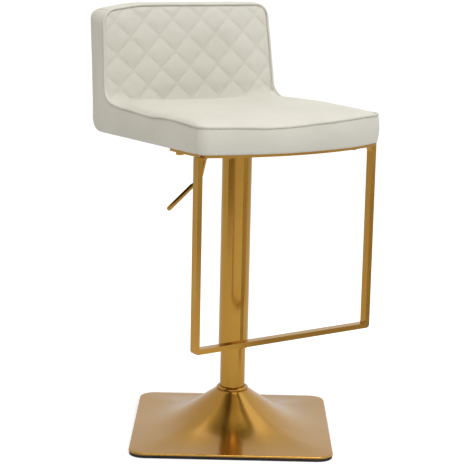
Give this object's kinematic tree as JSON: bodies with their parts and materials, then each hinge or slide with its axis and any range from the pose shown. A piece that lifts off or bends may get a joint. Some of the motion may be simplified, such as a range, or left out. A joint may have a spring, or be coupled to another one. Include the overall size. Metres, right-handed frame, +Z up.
{
  "type": "bar stool with footrest",
  "caption": "Height-adjustable swivel bar stool: ivory quilted seat and low back, gold column, hanging footrest loop and square pressed base.",
  "frame": {"origin": "The point where the column's axis meets the floor, at the centre of the rubber pad's underside.", "axes": "+Z up along the column. The seat faces -Y and +X is to the right when the stool is seen from its front. The base is turned 34.4 degrees clockwise about Z, as a swivelled stool stands."},
  "size_m": [0.5308, 0.5308, 0.8585],
  "materials": {
    "satin_gold": "brushed satin gold plating on steel",
    "zinc_steel": "zinc plated steel",
    "black_steel": "black powder coat",
    "cast_iron": "raw casting",
    "black_rubber": "matt moulded rubber",
    "black_nylon": "moulded nylon",
    "plywood": "unfinished plywood",
    "foam": "open-cell upholstery foam",
    "ivory_leather": "fine-grained ivory faux leather, semi-matt",
    "dust_cloth": "black non-woven cloth"
  },
  "bodies": {
    "base": {"base_shell": "satin_gold", "base_weight": "cast_iron", "floor_pad": "black_rubber", "column_collar": "satin_gold", "column_flange": "black_steel", "flange_bolt_1": "zinc_steel", "flange_bolt_2": "zinc_steel", "flange_bolt_3": "zinc_steel", "flange_bolt_4": "zinc_steel", "lower_tube": "satin_gold", "guide_bush": "black_nylon", "lower_race": "zinc_steel", "ball_cage": "black_nylon"},
    "piston": {"piston_rod": "zinc_steel", "upper_race": "zinc_steel", "bump_stop": "black_rubber", "retaining_clip": "zinc_steel"},
    "seat": {"gas_cylinder": "black_steel", "cover_tube": "satin_gold", "cover_tube_guide": "black_nylon", "seat_plate": "black_steel", "mechanism_box": "black_steel", "taper_socket": "black_steel", "lever_pin": "zinc_steel", "plate_bolt_1": "zinc_steel", "plate_bolt_2": "zinc_steel", "plate_bolt_3": "zinc_steel", "plate_bolt_4": "zinc_steel", "footrest_loop": "satin_gold", "footrest_frame": "satin_gold", "footrest_bolt_1": "satin_gold", "footrest_bolt_2": "satin_gold", "footrest_bolt_3": "satin_gold", "footrest_bolt_4": "satin_gold", "seat_cover": "ivory_leather", "seat_foam": "foam", "seat_board": "plywood", "dust_cover": "dust_cloth", "back_cover": "ivory_leather", "back_foam": "foam", "back_board": "plywood", "bracket_left": "zinc_steel", "bracket_right": "zinc_steel", "piping": "ivory_leather"},
    "lever": {"release_lever": "satin_gold", "lever_grip": "satin_gold"},
    "button": {"valve_button": "zinc_steel"}
  },
  "joints": [
    {"name": "swivel", "type": "hinge", "parent": "base", "child": "piston", "pos_m": [0, 0, 0.0256], "axis": [0, 0, 1], "continuous": true},
    {"name": "seat_lift", "type": "slide", "parent": "piston", "child": "seat", "axis": [0, 0, 1], "range_m": [-0.08, 0.13]},
    {"name": "lever_lift", "type": "hinge", "parent": "seat", "child": "lever", "pos_m": [-0.0286, 0, 0.5925], "axis": [0, 1, 0], "range_deg": [0, 6], "stiffness_Nm_per_rad": 3, "springref_deg": -4.58},
    {"name": "valve_press", "type": "slide", "parent": "seat", "child": "button", "axis": [0, 0, -1], "range_m": [0, 0.003]}
  ],
  "couplings": [
    {"joint": "valve_press", "follows": "lever_lift", "m_per_rad": 0.0286}
  ]
}
